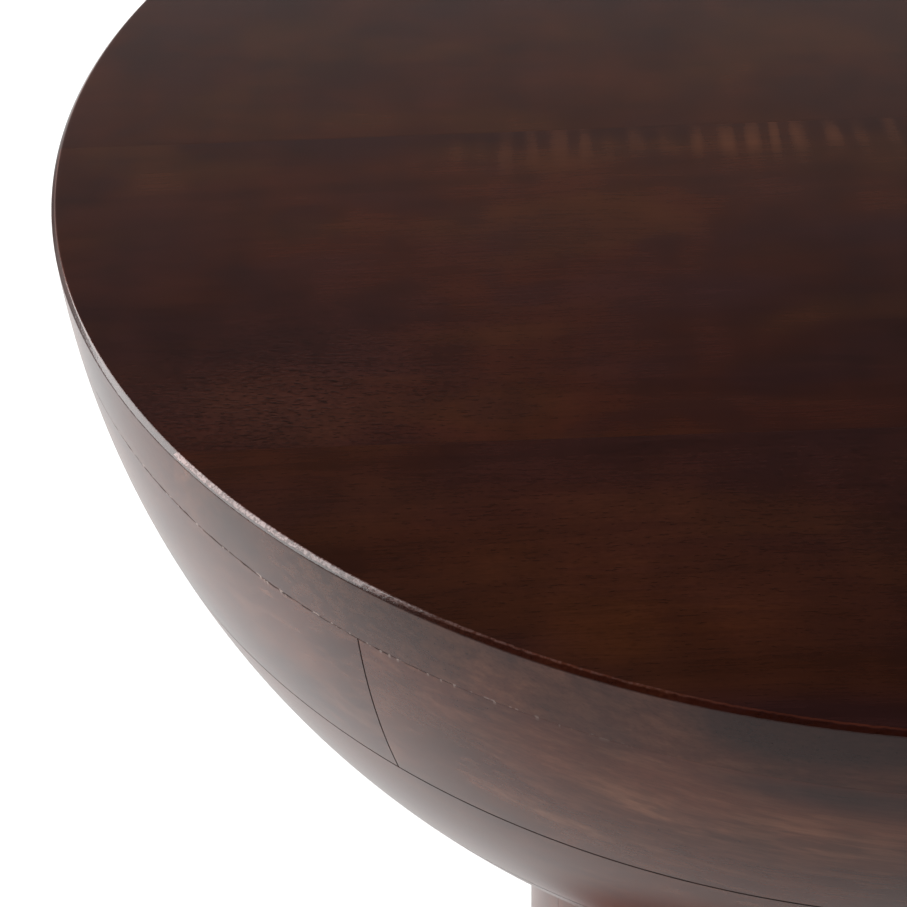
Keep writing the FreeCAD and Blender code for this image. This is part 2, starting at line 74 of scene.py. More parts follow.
def layer(node):
    """Upper and lower face of a piece, as depths in millimetres below the top face."""
    low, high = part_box(node)
    return (TOP_FACE - high[2] / MM, TOP_FACE - low[2] / MM)


TOP_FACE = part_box("top_board_1")[1][2] / MM
TOP_LAYER = layer("top_board_1")
RING_LAYERS = [layer(f"bowl_ring_{ring}_segment_1") for ring in (1, 2, 3)]
BOTTOM_LAYER = layer("bowl_bottom_board_1")
STEM_LAYER = layer("stem_stave_1")


def sphere_radius(depth):
    """Radius of the bowl at a depth: the square root of RADIUS squared less depth squared."""
    return np.sqrt(RADIUS ** 2 - np.asarray(depth, dtype=float) ** 2)


def on_profile(depth):
    """A point of the turned profile: the radius of the bowl at a depth, and the depth."""
    return np.array([float(sphere_radius(depth)), depth])


print("layers (mm below the top):", [tuple(round(d, 1) for d in pair)
                                     for pair in (TOP_LAYER, *RING_LAYERS, BOTTOM_LAYER, STEM_LAYER)])

# %% [markdown]
# ## From rows of points to a closed piece
# Every wooden piece is a stack of rows with the same number of points in each. Neighbouring rows
# are joined by four-sided faces, and the two ends are closed by a fan to one point, or by one flat
# face. Numbers for all the points are worked out together as arrays, which is quick and exact.
# A piece whose volume comes out negative has its faces inside out, and they are turned round.

# %% One closed skin
SHARP_FROM = math.radians(40)


def closed_skin(name, rows, poles=None):
    """A mesh from rows of points in millimetres, shaped (rows, points, 3). poles holds the two
    points that close the ends; without them each end is one flat face."""
    count, around, _ = rows.shape
    start = np.arange(count - 1)[:, None] * around
    here = np.arange(around)[None, :]
    after = (here + 1) % around
    faces = np.stack([start + here, start + after, start + around + after, start + around + here], -1)
    faces = faces.reshape(-1, 4).tolist()
    points = rows.reshape(-1, 3)
    last = (count - 1) * around
    if poles is None:
        faces += [list(range(around))[::-1], list(range(last, last + around))]
    else:
        points = np.concatenate([points, poles])
        first_pole, last_pole = last + around, last + around + 1
        faces += [[i, first_pole, (i + 1) % around] for i in range(around)]
        faces += [[last + i, last + (i + 1) % around, last_pole] for i in range(around)]
    corners = points[[face[:3] for face in faces]]
    volume = np.einsum("ij,ij->", corners[:, 0], np.cross(corners[:, 1], corners[:, 2]))
    if volume < 0:
        faces = [face[::-1] for face in faces]
    mesh = bpy.data.meshes.new(name)
    mesh.from_pydata((points * MM).tolist(), [], faces)
    mesh.shade_smooth()
    mesh.set_sharp_from_angle(angle=SHARP_FROM)
    mesh.update()
    piece = bpy.data.objects.new(name, mesh)
    bpy.context.scene.collection.objects.link(piece)
    return piece, points


def rounded_corner(start, corner, finish, steps=4):
    """Points that round a corner: (1 - t) squared of the start, 2 t (1 - t) of the corner and
    t squared of the finish, for t from 0 to 1."""
    t = np.linspace(0, 1, steps + 1)[:, None]
    start, corner, finish = (np.asarray(p, dtype=float) for p in (start, corner, finish))
    return (1 - t) ** 2 * start + 2 * t * (1 - t) * corner + t ** 2 * finish


# %% [markdown]
# ## The timber that each piece was cut from
# A board is a slice of a log, so its figure is the log's rings met by the cut. Each skin therefore
# carries, for every point, its place in its own log: along the grain, and two distances from the
# heart of the log. A wide flat-sawn board shows arches where the heart lies under its middle, and
# a board sawn far from the heart shows straight lines. Every piece gets its own stretch of the
# log, so no two neighbours look alike.

# %% Place in the log
TIMBER_SEED = 18
rng = np.random.default_rng(TIMBER_SEED)
# where each part's timber starts along the log, and the step from one piece to the next
STRETCHES = {"top": (0.0, 700.0), "bottom": (5000.0, 500.0), "ring": (9000.0, 700.0),
             "stem": (30000.0, 600.0)}


def in_the_log(points, along, across, outward, heart, part, number):
    """Coordinates along the grain and square to it, measured from the heart of the log. A piece
    starts at its part's own start plus a step for each piece before it."""
    start, step = STRETCHES[part]
    axes = np.stack([along, across, outward], axis=1)
    return points @ axes + np.array([start + step * number, heart[0], heart[1]])


def set_values(mesh, name, values):
    """Store one number or one vector for each point of a mesh."""
    kind, field = ("FLOAT", "value") if values.ndim == 1 else ("FLOAT_VECTOR", "vector")
    layer_data = mesh.attributes.new(name, kind, "POINT")
    layer_data.data.foreach_set(field, values.astype(np.float32).ravel())


# %% [markdown]
# ## Marks in the figure
# Timber has local marks that no even pattern gives. There are six kinds here: curl, where the
# fibres wave and flash in bars across the grain; dark bluish patches; warm patches; relief, where
# the grain is open and the lacquer looks like fine leather; a painted highlight on the rim's bevel;
# and stain, which makes a spot a little lighter or darker. Each mark is a soft spot, longer along
# the grain than across it. On the top a place is two distances in millimetres from the middle, and
# on the bowl a direction and a depth. Length, width and strength follow.

# %% Places of the marks


def on_bowl(azimuth, depth):
    """The point of the sphere at a direction in degrees and a depth below the top."""
    r, a = sphere_radius(depth), math.radians(azimuth)
    return (r * math.cos(a), r * math.sin(a), TOP_FACE - depth)


MARKS = {
    "curl": [
        ((-120, -17), 7, 6, 0.32), ((-95, -11), 18, 6, 0.32), ((-58, -11), 22, 7, 0.44),
        ((-20, -12), 24, 7, 0.5), ((30, -12), 26, 8, 0.45), ((80, -13), 30, 8, 0.4),
        ((-60, 96), 40, 10, 0.15), ((130, -80), 30, 12, 0.15),
    ],
    "dark": [
        ((-174, 42), 26, 24, 0.3), ((-208, -57), 16, 16, 0.35), ((-216, -128), 12, 14, 0.4),
        ((-122, -62), 22, 10, 0.35), ((-66, -88), 10, 10, 0.4), ((-40, -64), 26, 5, 0.4),
        ((20, -62), 50, 5, 0.5), ((10, -96), 40, 8, 0.35), ((90, 30), 70, 22, 0.4),
        ((-226, -70), 10, 30, 0.4), ((-10, -160), 50, 16, 0.5), ((10, -215), 40, 20, 0.4),
        (on_bowl(222, 8), 50, 9, 0.7), (on_bowl(234, 9), 36, 8, 0.6), (on_bowl(205, 9), 50, 9, 0.6),
        (on_bowl(230, 30), 30, 5, 0.4), (on_bowl(254, 3), 26, 5, 0.9), (on_bowl(263, 4), 30, 6, 0.9),
        (on_bowl(246, 4), 12, 4, 0.45), (on_bowl(241, 2), 9, 4, 0.6), (on_bowl(255.5, 9), 18, 5, 0.6),
        (on_bowl(256.5, 23.5), 17, 3.4, 1.0), (on_bowl(246, 16), 12, 5, 0.5),
        (on_bowl(236.5, 43), 8, 6, 0.45), (on_bowl(265, 25), 20, 4, 0.8),
        (on_bowl(300, 50), 26, 9, 0.6), (on_bowl(120, 30), 30, 9, 0.6), (on_bowl(60, 60), 26, 9, 0.6),
    ],
    "warm": [
        ((-185, -160), 30, 10, 0.5), ((-136, -193), 40, 14, 0.4), ((-80, -215), 46, 12, 0.5),
        ((-55, -238), 44, 8, 0.35), ((-90, -24), 50, 16, 0.15), ((-30, -36), 50, 14, 0.1),
        ((-50, 12), 80, 22, 0.2), ((20, 60), 90, 30, 0.15),
        (on_bowl(238.6, 59), 7, 1.7, 0.8), (on_bowl(241.7, 60.3), 12, 1.6, 1.0),
        (on_bowl(244.9, 61), 9, 1.5, 0.8), (on_bowl(247.1, 39), 7, 3.2, 0.9),
        (on_bowl(249.5, 44), 9, 1.8, 0.9), (on_bowl(256.3, 38.5), 16, 5, 0.6),
        (on_bowl(258.9, 46), 16, 3, 0.4), (on_bowl(238, 34), 10, 3, 0.4), (on_bowl(30, 70), 26, 5, 0.7),
        (on_bowl(150, 60), 26, 5, 0.7), (on_bowl(330, 40), 30, 5, 0.7),
    ],
    "relief": [
        ((-184, -134), 28, 18, 1.0), ((-150, -120), 40, 26, 0.4), ((-100, -180), 80, 36, 0.35),
        ((20, -190), 80, 40, 0.3),
    ],
    # painted highlight on the bevel at the left, where the lamp's reflection falls
    "pale_edge": [
        (on_bowl(218, 1), 13, 13, 0.6), (on_bowl(227, 1), 17, 17, 0.8), (on_bowl(236.5, 1), 15, 15, 0.22),
        (on_bowl(246, 1), 16, 16, 0.08),
    ],
    "stain": [
        ((-110, -75), 60, 50, 0.16), ((-100, -20), 60, 30, 0.12), ((-60, 30), 70, 40, 0.1),
        ((15, -190), 60, 50, -0.2), ((-205, -100), 20, 40, -0.1), ((-180, -160), 20, 14, -0.15),
        ((-90, -225), 50, 16, -0.12), ((0, -100), 30, 30, -0.08), ((-30, -236), 42, 12, -0.14),
        # the two on the rim make the top darker along the left rim
        (on_bowl(229, 0), 24, 9, -0.3), (on_bowl(236, 0), 18, 7, -0.3),
    ],
}
OWN_REACH = 4.0    # a mark whose middle is farther than this from every point is another piece's


def marked(points, along, kind):
    """How strongly a kind of mark shows at each point: the sum over the marks of its strength
    times e to the power of minus half its distance squared, in the mark's own lengths. A mark
    belongs to the piece that holds its middle, and stops at the joint."""
    total = np.zeros(len(points))
    for place, length, width, strength in MARKS[kind]:
        centre = np.array(place if len(place) == 3 else (*place, TOP_FACE))
        offset = points - centre
        squared = np.sum(offset ** 2, axis=1)
        if squared.min() > OWN_REACH ** 2:
            continue
        lengthwise = offset @ along
        sideways = squared - lengthwise ** 2
        total += strength * np.exp(-0.5 * (lengthwise ** 2 / length ** 2 + sideways / width ** 2))
    return total


def finish_piece(piece, points, log, along, tone, seam, faint_seam=0.0, edge=1.0):
    """Store what the timber needs on the skin, and let it stand for the solid piece."""
    mesh = piece.data
    set_values(mesh, "log", log * MM)
    for name, value in (("tone", tone), ("seam", seam), ("faint_seam", faint_seam), ("edge", edge)):
        set_values(mesh, name, value + np.zeros(len(points)))
    for kind in MARKS:
        set_values(mesh, kind, marked(points, along, kind))
    node = piece.name.removesuffix("_skin")
    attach(piece, "root")
    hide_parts(node)


print("marks:", {kind: len(places) for kind, places in MARKS.items()})

# %% [markdown]
# ## Boards
# The top and the bottom of the bowl are boards glued edge to edge and turned round in one piece.
# A row of points is the outline of a board at one height: straight along its glue lines, and an
# arc of the circle that the bowl has there. Going down the rows follows the turned profile, which
# starts with a bevel between two small rounds. The flat faces are rows that shrink to a point,
# close enough together to carry the marks. A disc cut by straight lines would be quicker, but it
# has no rounds along its joints, and those rounds are what makes a joint show.

# %% The outline of a board
CORNER_GAP = 3.0    # from the corner of a board to the next point on its glue line


def edge_points(radius, y, inset_y, count):
    """Points along a straight glue line from left to right. The first and last are the corners."""
    half = math.sqrt(radius ** 2 - y ** 2)
    x = np.concatenate([[-half], np.linspace(-(half - CORNER_GAP), half - CORNER_GAP, count - 2), [half]])
    return np.stack([x, np.full(count, inset_y)], axis=1)


def arc_points(radius, begin, finish, count):
    """Points inside an arc, without its two ends: radius times (cosine, sine) of the angle."""
    angle = np.linspace(begin, finish, count + 2)[1:-1]
    return radius * np.stack([np.cos(angle), np.sin(angle)], axis=1)


def board_outline(radius, low, high, inset, straight, curved):
    """A board's outline anticlockwise, and which points lie on a glue line. low and high are the
    glue lines across the boards; None is the turned side. A corner counts as turned."""
    angle = {y: math.asin(y / radius) for y in (low, high) if y is not None}
    if low is None:
        right = (math.pi - angle[high], angle[high] + 2 * math.pi)
    else:
        right = (angle[low], math.pi - angle[low] if high is None else angle[high])
    between_corners = np.ones(straight)
    between_corners[[0, -1]] = 0
    parts, on_line = [arc_points(radius, *right, curved)], [np.zeros(curved)]
    if low is not None:
        parts.insert(0, edge_points(radius, low, low + inset, straight))
        on_line.insert(0, between_corners)
    if high is not None:
        parts.append(edge_points(radius, high, high - inset, straight)[::-1])
        on_line.append(between_corners)
    if low is not None and high is not None:
        parts.append(arc_points(radius, math.pi - angle[high], math.pi - angle[low], curved))
        on_line.append(np.zeros(curved))
    return np.concatenate(parts), np.concatenate(on_line)


# %% One board
BEVEL_ROUND, SIDE_ROUND = 0.22, 0.16    # above and below the bevel, as shares of its width
ROW_STEP = 1.8                          # between rows down the turned side
LAST_ROWS = (0.6, 0.2)                  # the last two rows, above the rounded lower edge
INWARD = (0.004, 0.02)                  # the first two rows of a flat face, as shares of the way in


def shrinking(edge, steps, smallest):
    """Rows that shrink from an outline to its middle, and that middle."""
    middle = np.array([0.0, (edge[:, 1].min() + edge[:, 1].max()) / 2, edge[0, 2]])
    share = np.concatenate([[1 - INWARD[0]], np.linspace(1 - INWARD[1], smallest, steps)])
    return middle + share[:, None, None] * (edge - middle), middle


def make_board(name, layer_depths, low, high, rim, under_ease, joint_ease, straight, curved, rings):
    """A board between two depths. rim is the width of the bevel on the upper edge, under_ease how
    far the lower edge is rounded, and joint_ease the long edges at the glue lines. Returns the
    piece, its points, how close each is to the lower edge, and how far across the bevel it is:
    0 on the upper face, 1 on the turned side."""
    upper, under = layer_depths
    small, soft = BEVEL_ROUND * rim, SIDE_ROUND * rim
    slant, soft_slant = small / math.sqrt(2), soft / math.sqrt(2)
    outer = on_profile(upper + rim)
    inner = np.array([outer[0] - rim, upper])
    bevel = np.concatenate([
        rounded_corner(inner - (small, 0), inner, inner + slant),
        np.linspace(inner + slant, outer - soft_slant, 5)[1:-1],
        rounded_corner(outer - soft_slant, outer, on_profile(upper + rim + soft), 6)])
    crossed = np.linalg.norm(bevel - bevel[0], axis=1) / np.linalg.norm(bevel[-1] - bevel[0])
    depths = np.concatenate([
        [upper + rim + soft + small],
        np.linspace(upper + rim + soft + 2 * small, under - under_ease - LAST_ROWS[0],
                    max(3, int((under - upper) / ROW_STEP))),
        [under - under_ease - LAST_ROWS[1]]])
    lower = rounded_corner(on_profile(under - under_ease), on_profile(under),
                           on_profile(under) - (under_ease, 0))
    profile = np.concatenate([bevel, np.stack([sphere_radius(depths), depths], axis=1), lower])
    crossed = np.concatenate([crossed, np.ones(len(profile) - len(crossed))])
    turn = np.linspace(0, math.pi / 2, len(bevel))
    joint = np.stack([np.zeros(len(profile)), profile[:, 1]], axis=1)
    joint[:len(bevel), 0] = joint_ease * (1 - np.sin(turn))
    joint[:len(bevel), 1] = upper + joint_ease * (1 - np.cos(turn))
    rows, seams, edges = [], [], []
    for (r, depth), (inset, joint_depth), across in zip(profile, joint, crossed):
        outline, on_line = board_outline(r, low, high, inset, straight, curved)
        z = TOP_FACE - np.where(on_line > 0, joint_depth, depth)
        rows.append(np.column_stack([outline, z]))
        seams.append(np.clip(1 - (under - depth) / LINE_WIDTH, 0, 1) * (1 - on_line))
        edges.append(across * (1 - on_line))
    above, top_pole = shrinking(rows[0], rings, 0.02)
    below, low_pole = shrinking(rows[-1], 4, 0.1)
    piece, points = closed_skin(name + "_skin", np.concatenate([above[::-1], rows, below]),
                                np.array([top_pole, low_pole]))
    seams = np.concatenate([np.zeros(above.shape[:2]), seams, np.zeros(below.shape[:2])])
    edges = np.concatenate([np.zeros(above.shape[:2]), edges, np.ones(below.shape[:2])])
    return piece, points, np.append(seams.ravel(), [0.0, 0.0]), np.append(edges.ravel(), [0.0, 1.0])


# %% [markdown]
# ## How clearly a glue line shows
# A real glue line isn't equally clear all the way round the bowl. The line under the top comes and
# goes, and the lines between the rings are clear nearly everywhere. A number painted by hand for
# each stretch would do, but a slow wave of the direction is shorter and has no steps.

# %% Strength of the lines
ALONG, ACROSS, UP = np.eye(3)
UNDER_TOP = dict(middle=0.45, swing=0.5, times=5, clearest=220)
BETWEEN_RINGS = dict(middle=0.75, swing=0.4, times=2, clearest=275)


def line_strength(points, middle, swing, times, clearest):
    """How clearly a glue line shows: a middle strength plus a swing times the cosine of some times
    the direction, so that the line comes and goes so often round the table. It is clearest at one
    direction in degrees, and stays between 0 and 1."""
    azimuth = np.arctan2(points[:, 1], points[:, 0])
    return np.clip(middle + swing * np.cos(times * (azimuth - math.radians(clearest))), 0, 1)


# %% Boards of the top and of the bowl's bottom
skins = {"top": [], "bowl": [], "stem": []}
top_lines = [None] + [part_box(f"top_board_{n}")[1][1] / MM for n in (1, 2, 3)] + [None]
top_hearts = [(330.0, 60.0), (78.0, 62.0), (-95.0, 105.0), (260.0, 90.0)]
top_tones = [0.44, 0.52, 0.62, 0.5]
for n in range(4):
    piece, points, seam, edge = make_board(
        f"top_board_{n + 1}", TOP_LAYER, top_lines[n], top_lines[n + 1], rim=RIM_EASE, under_ease=0.06,
        joint_ease=0.03, straight=130, curved=80 if n in (1, 2) else 230, rings=34)
    log = in_the_log(points - TOP_FACE * UP, ALONG, ACROSS, UP, top_hearts[n], "top", n)
    finish_piece(piece, points, log, ALONG, top_tones[n], 0.0,
                 seam * line_strength(points, **UNDER_TOP), edge)
    skins["top"].append(piece)
bottom_lines = [None] + [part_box(f"bowl_bottom_board_{n}")[1][1] / MM for n in (1, 2)] + [None]
for n in range(3):
    piece, points, seam, edge = make_board(
        f"bowl_bottom_board_{n + 1}", BOTTOM_LAYER, bottom_lines[n], bottom_lines[n + 1], rim=0.15,
        under_ease=0.3, joint_ease=0.05, straight=60, curved=40 if n == 1 else 90, rings=6)
    heart = (rng.uniform(-90, 90), rng.uniform(60, 130))
    log = in_the_log(points - TOP_FACE * UP, ALONG, ACROSS, UP, heart, "bottom", n)
    finish_piece(piece, points, log, ALONG, rng.uniform(0.35, 0.6), seam)
    skins["bowl"].append(piece)
print("boards:", [len(p.data.polygons) for p in skins["top"] + skins["bowl"]])

# %% [markdown]
# ## Mitred blocks
# The rings of the bowl and the staves of the stem are the same idea: a block with mitred ends,
# round outside and flat inside. A row of points is the section of the block in one direction from
# the table's axis. On the turned side a point keeps its radius from row to row. On the flat side
# it keeps its distance to the plane, so its radius is that distance over the cosine of the turn.
# Near the mitres the turned side dips in by a small round: that is what makes the joint a line.

# %% One mitred block
ROUND_ROWS = np.array([0, 0.1, 0.3, 0.6, 1.0, 1.8])    # rows beside a mitre, in units of its round
MITRE_GAP = 2.0                                        # from a mitre to the first even row
MITRE_STRENGTH, MITRE_SHARE = 0.8, 0.65                # how dark and how wide its line is


def mitred_block(name, section, turned, normal, half_angle, middle_azimuth, ease, spacing):
    """Sweep a section (radius or plane distance, height) between two mitres. turned marks the
    points that keep their radius, normal is their outward direction in the section. Returns the
    piece, its points and how close each point is to a glue line."""
    radius = section[turned > 0, 0].max()
    near = ROUND_ROWS * ease / radius
    steps = max(6, int(2 * half_angle * radius / spacing))
    inner = np.linspace(-half_angle + MITRE_GAP / radius, half_angle - MITRE_GAP / radius, steps)
    turns = np.concatenate([-half_angle + near, inner, half_angle - near[::-1]])
    away = section[None, :, 0] * np.sin(half_angle - np.abs(turns))[:, None]
    inside = np.clip(ease - away, 0, ease)
    drop = (ease - np.sqrt(ease ** 2 - inside ** 2)) * turned[None, :]
    r = section[None, :, 0] - drop * normal[None, :, 0]
    z = section[None, :, 1] - drop * normal[None, :, 1]
    r = np.where(turned[None, :] > 0, r, section[None, :, 0] / np.cos(turns)[:, None])
    angle = middle_azimuth + turns[:, None]
    rows = np.stack([r * np.cos(angle), r * np.sin(angle), z * np.ones_like(r)], axis=-1)
    piece, points = closed_skin(name + "_skin", rows)
    seam = MITRE_STRENGTH * np.clip(1 - away / (MITRE_SHARE * LINE_WIDTH), 0, 1)
    return piece, points, seam.ravel()


def section_with_normals(parts):
    """Join parts of a section, each (points, turned), and give every point its outward direction,
    which is the direction to the next point turned by a right angle."""
    section = np.concatenate([p for p, _ in parts])
    turned = np.concatenate([np.full(len(p), t) for p, t in parts])
    ahead = np.roll(section, -1, axis=0) - np.roll(section, 1, axis=0)
    normal = np.stack([-ahead[:, 1], ahead[:, 0]], axis=1)
    normal /= np.linalg.norm(normal, axis=1)[:, None] + 1e-12
    return section, turned, normal


def directions(azimuth):
    """Outwards from the table's axis, and round it, at an angle in radians."""
    return (np.array([math.cos(azimuth), math.sin(azimuth), 0]),
            np.array([-math.sin(azimuth), math.cos(azimuth), 0]))


# %% [markdown]
# ## Rings of the bowl
# The hollow bowl is three rings of six blocks, each ring turned by half a block against the one
# above, like bricks. A bowl turned from one lump would need no joints, but the table shows them.
# The outside of every ring is cut to the same sphere, and the inside stays flat from the saw.

# %% Rings
UPRIGHT_JOINT = math.radians(231.25)               # direction of one mitre of the first ring
RING_EASES = [(0.06, 0.22), (0.2, 0.2), (0.15, 0.2)]    # rounds on each ring's upper and lower edge
MITRE_EASE, BLOCK_SPACING = 0.2, 3.2
ROUND_GAP, EVEN_GAP, EVEN_ROWS = 0.25, 1.2, 30     # rows between the two rounds
RING_STRETCH = 8                                   # steps along the log kept for each ring
HALF_SEGMENT = math.pi / SEGMENTS
FIRST_SEGMENT = UPRIGHT_JOINT + HALF_SEGMENT


def ring_section(layer_depths, upper_ease, lower_ease):
    """Section of a ring block: sphere outside, flat faces above, below and inside. Also how close
    each point is to the upper and to the lower glue line."""
    upper, under = layer_depths
    depths = np.concatenate([[upper + upper_ease + ROUND_GAP],
                             np.linspace(upper + EVEN_GAP, under - EVEN_GAP, EVEN_ROWS),
                             [under - lower_ease - ROUND_GAP]])
    top = rounded_corner(on_profile(upper) - (upper_ease, 0), on_profile(upper),
                         on_profile(upper + upper_ease))
    low = rounded_corner(on_profile(under - lower_ease), on_profile(under),
                         on_profile(under) - (lower_ease, 0))
    outer = np.concatenate([top, np.stack([sphere_radius(depths), depths], axis=1), low])
    inner = on_profile(under)[0] - RING_WALL
    flat = np.array([(inner, under), (inner, (upper + under) / 2), (inner, upper)])
    outer[:, 1] = TOP_FACE - outer[:, 1]
    flat[:, 1] = TOP_FACE - flat[:, 1]
    section, turned, normal = section_with_normals([(outer, 1), (flat, 0)])
    depth = TOP_FACE - section[:, 1]
    upper_seam = np.clip(1 - (depth - upper) / LINE_WIDTH, 0, 1) * turned
    lower_seam = np.clip(1 - (under - depth) / LINE_WIDTH, 0, 1) * turned
    return section, turned, normal, upper_seam, lower_seam


for ring, depths in enumerate(RING_LAYERS):
    section, turned, normal, *lines = ring_section(depths, *RING_EASES[ring])
    for n in range(SEGMENTS):
        azimuth = FIRST_SEGMENT + ring * HALF_SEGMENT + 2 * HALF_SEGMENT * n
        piece, points, mitre_seam = mitred_block(
            f"bowl_ring_{ring + 1}_segment_{n + 1}", section, turned, normal, HALF_SEGMENT, azimuth,
            MITRE_EASE, BLOCK_SPACING)
        upper_seam, lower_seam = (np.tile(line, len(points) // len(section)) for line in lines)
        ring_line = lower_seam if ring == 0 else np.maximum(lower_seam, upper_seam)
        seam = np.maximum(mitre_seam, ring_line * line_strength(points, **BETWEEN_RINGS))
        faint = upper_seam * line_strength(points, **UNDER_TOP) if ring == 0 else 0.0
        outward, along = directions(azimuth)
        heart = (rng.uniform(-60, 60), rng.uniform(-160, -60))
        log = in_the_log(points - TOP_FACE * UP, along, UP, outward, heart, "ring",
                         RING_STRETCH * ring + n)
        finish_piece(piece, points, log, along, rng.uniform(0.4, 0.6), seam, faint)
        skins["bowl"].append(piece)
print("blocks:", SEGMENTS * len(RING_LAYERS), "in", len(RING_LAYERS), "rings")

# %% [markdown]
# ## Staves of the stem
# The stem is made like a barrel: eight upright staves, mitred to each other and turned round. It
# widens a little towards the floor along a very large circle. Inside, each stave has a shoulder
# near the top, which the clamp plate is pulled against, and a recess below for the foot plate.

# %% Staves
STEM_TOP = TOP_FACE - STEM_LAYER[0]
STEM_FOOT = TOP_FACE - STEM_LAYER[1]
STEM_LENGTH = STEM_TOP - STEM_FOOT
STEM_RADIUS = float(sphere_radius(STEM_LAYER[0]))
FOOT_FLARE, FOOT_EASE, TOP_EASE = 5.8, 2.0, 0.2
SHOULDER, BORE, RECESS = (STEM_RADIUS - wall for wall in (46.0, 34.0, 20.0))
SHOULDER_DROP, RECESS_HEIGHT = 24, 18
BELOW_TOP, ABOVE_FOOT, STAVE_ROWS = 0.5, 0.3, 60
STAVE_EASE, STAVE_SPACING, STAVE_LINE = 0.12, 4.0, 0.22
FLARE_RADIUS = (STEM_LENGTH ** 2 + FOOT_FLARE ** 2) / (2 * FOOT_FLARE)


def stave_section():
    """Section of a stave, from its top down the flared outside, and up the stepped bore. The flare
    is a circle: its radius less the square root of radius squared less the drop squared."""
    height = np.linspace(STEM_LENGTH - BELOW_TOP, FOOT_EASE + ABOVE_FOOT, STAVE_ROWS)
    flare = STEM_RADIUS + FLARE_RADIUS - np.sqrt(FLARE_RADIUS ** 2 - (STEM_LENGTH - height) ** 2)
    top = rounded_corner((STEM_RADIUS - TOP_EASE, STEM_LENGTH), (STEM_RADIUS, STEM_LENGTH),
                         (STEM_RADIUS, STEM_LENGTH - TOP_EASE))
    q = np.radians(np.linspace(0, 90, 7))
    low = np.stack([STEM_RADIUS + FOOT_FLARE - FOOT_EASE * (1 - np.cos(q)),
                    FOOT_EASE * (1 - np.sin(q))], axis=1)
    bore = np.array([(RECESS, 0), (RECESS, RECESS_HEIGHT), (BORE, RECESS_HEIGHT),
                     (BORE, STEM_LENGTH - SHOULDER_DROP), (SHOULDER, STEM_LENGTH - SHOULDER_DROP),
                     (SHOULDER, STEM_LENGTH)])
    outer = np.concatenate([top, np.stack([flare, height], axis=1), low])
    outer[:, 1] += STEM_FOOT
    bore[:, 1] += STEM_FOOT
    return section_with_normals([(outer, 1), (bore, 0)])


section, turned, normal = stave_section()
for n in range(STAVES):
    azimuth = 2 * math.pi * n / STAVES
    piece, points, seam = mitred_block(f"stem_stave_{n + 1}", section, turned, normal,
                                       math.pi / STAVES, azimuth, STAVE_EASE, STAVE_SPACING)
    outward, sideways = directions(azimuth)
    heart = (rng.uniform(-60, 60), rng.uniform(-200, -60))
    log = in_the_log(points, UP, sideways, outward, heart, "stem", n)
    finish_piece(piece, points, log, UP, rng.uniform(0.35, 0.6), STAVE_LINE * seam)
    skins["stem"].append(piece)
print("skins:", sum(len(v) for v in skins.values()),
      "faces:", sum(len(p.data.polygons) for v in skins.values() for p in v))

# %% [markdown]
# ## Building materials
# A material is a small network of nodes. It could be built with a line for every node, setting and
# link, but that hides what is done. Here one function adds any node, and a table says for each
# step which kind of node it is, its settings, which inputs the values go to and which output
# comes back. A network then reads as a list of steps.

# %% One function for every node
STEPS = {
    "plus": ("Math", {"operation": "ADD"}, (0, 1), 0),
    "minus": ("Math", {"operation": "SUBTRACT"}, (0, 1), 0),
    "times": ("Math", {"operation": "MULTIPLY"}, (0, 1), 0),
    "times_plus": ("Math", {"operation": "MULTIPLY_ADD"}, (0, 1, 2), 0),
    "smaller": ("Math", {"operation": "MINIMUM"}, (0, 1), 0),
    "larger": ("Math", {"operation": "MAXIMUM"}, (0, 1), 0),
    "sine": ("Math", {"operation": "SINE"}, (0,), 0),
    # a smooth change while the first number goes from the second to the third
    "ramp": ("MapRange", {"interpolation_type": "SMOOTHSTEP"}, (0, 1, 2, 3, 4), 0),
    "move": ("VectorMath", {"operation": "ADD"}, (0, 1), 0),
    "move_back": ("VectorMath", {"operation": "SUBTRACT"}, (0, 1), 0),
    "stretch": ("VectorMath", {"operation": "MULTIPLY"}, (0, 1), 0),
    "shade": ("VectorMath", {"operation": "SCALE"}, (0, "Scale"), 0),
    "length": ("VectorMath", {"operation": "LENGTH"}, (0,), 1),
    "distance": ("VectorMath", {"operation": "DISTANCE"}, (0, 1), 1),
    "split": ("SeparateXYZ", {}, (0,), 0),
    "join": ("CombineXYZ", {}, (1, 2), 0),
    "noise": ("TexNoise", {}, ("Vector", "Scale", "Detail", "Roughness"), 0),
    "line_noise": ("TexNoise", {"noise_dimensions": "1D"}, ("W", "Scale", "Detail", "Roughness"), 0),
    "mix": ("Mix", {"data_type": "RGBA"}, (0, 6, 7), 2),
    "stored": ("Attribute", {}, (), 2),
    "place": ("TexCoord", {}, (), 3),
    "direction": ("TexCoord", {}, (), 0),
    "rays": ("LightPath", {}, (), 0),
    "bump": ("Bump", {}, ("Strength", "Distance", "Height"), 0),
    "lacquered": ("BsdfPrincipled", {}, ("Base Color", "Roughness", "IOR", "Normal"), 0),
    "bare": ("BsdfPrincipled", {}, ("Base Color", "Metallic", "Roughness", "Normal"), 0),
    "matt": ("BsdfDiffuse", {}, ("Color",), 0),
    "glow": ("Emission", {}, ("Color", "Strength"), 0),
    "both": ("AddShader", {}, (0, 1), 0),
    "surface": ("OutputMaterial", {}, ("Surface",), 0),
    "background": ("Background", {}, ("Color", "Strength"), 0),
    "room": ("OutputWorld", {}, ("Surface",), 0),
}


def add(tree, step, *values, out=None, **settings):
    """Add the node of a step. A value that is an output of another node is linked to its input,
    and any other value is written into it. Returns the step's output, or the one out names."""
    kind, usual_settings, inputs, usual_out = STEPS[step]
    node = tree.nodes.new("ShaderNode" + kind)
    for key, value in {**usual_settings, **settings}.items():
        setattr(node, key, value)
    for key, value in zip(inputs, values):
        if isinstance(value, bpy.types.NodeSocket):
            tree.links.new(value, node.inputs[key])
        else:
            node.inputs[key].default_value = value
    return node.outputs[usual_out if out is None else out] if node.outputs else None


